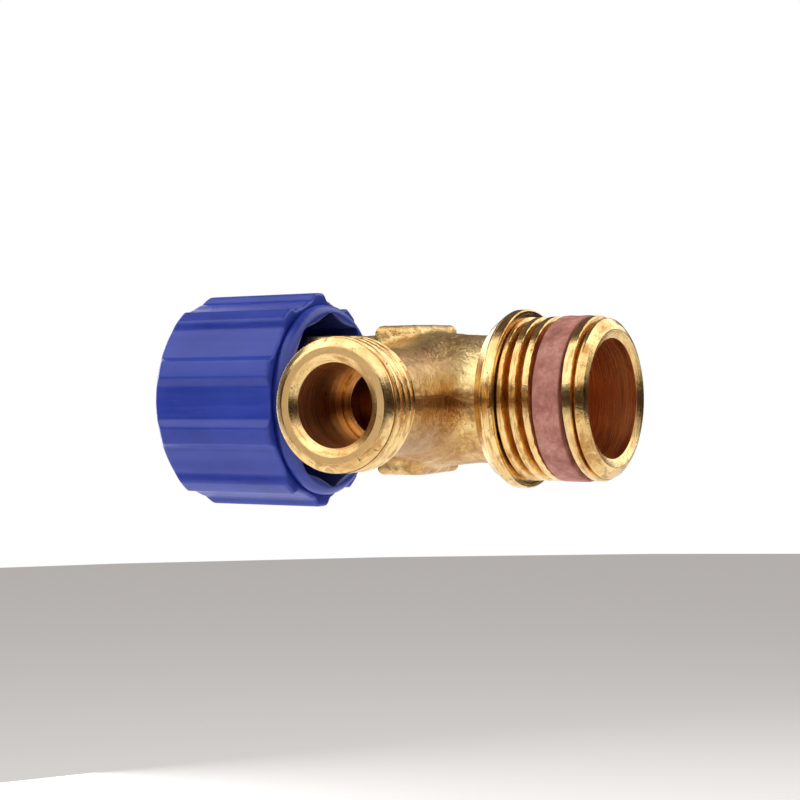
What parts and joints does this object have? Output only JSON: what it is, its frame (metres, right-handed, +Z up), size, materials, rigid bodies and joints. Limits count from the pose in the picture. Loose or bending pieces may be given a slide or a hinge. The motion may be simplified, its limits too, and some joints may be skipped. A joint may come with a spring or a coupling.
{
  "type": "angle stop valve",
  "caption": "Raw brass angle stop valve: threaded inlet with a sealing ring in its thread, threaded side outlet for a small pipe, and a fluted blue cup handwheel in line with the inlet.",
  "frame": {"origin": "centre of the inlet collar's front face, on the main axis, where the inlet thread starts", "axes": "+X out of the inlet along the main axis, with the handwheel at -X; -Y out of the side outlet; +Z up, normal to the upper wrench flat"},
  "size_m": [0.0622, 0.0422, 0.0286],
  "materials": {
    "forged_brass": "raw forged brass with machined threads, collar and bores, lightly marked",
    "turned_brass": "bright turned brass",
    "pink_seal": "matte pink-brown sealing ring, faintly mottled",
    "black_rubber": "black rubber, satin",
    "white_polymer": "off-white low-friction polymer",
    "spring_steel": "bright steel",
    "blue_plastic": "deep blue moulded plastic, satin gloss"
  },
  "bodies": {
    "body": {"valve_body": "forged_brass", "inlet_seal_ring": "pink_seal", "bonnet": "turned_brass", "bonnet_o_ring": "black_rubber", "slip_washer": "white_polymer"},
    "spindle_group": {"spindle": "turned_brass", "spindle_o_ring_inner": "black_rubber", "spindle_o_ring_outer": "black_rubber", "retaining_clip": "spring_steel", "handle": "blue_plastic", "handle_screw": "spring_steel", "handle_cap": "blue_plastic"},
    "plunger_group": {"plunger": "turned_brass", "seat_washer": "black_rubber", "washer_screw": "turned_brass", "plunger_o_ring": "black_rubber"}
  },
  "joints": [
    {"name": "handle_turn", "type": "hinge", "parent": "body", "child": "spindle_group", "pos_m": [-0.036, 0, 0], "axis": [-1, 0, 0], "range_deg": [0, 1080]},
    {"name": "plunger_lift", "type": "slide", "parent": "body", "child": "plunger_group", "axis": [-1, 0, 0], "range_m": [0, 0.00375]}
  ],
  "couplings": [
    {"joint": "plunger_lift", "follows": "handle_turn", "m_per_rad": 0.00019894}
  ]
}
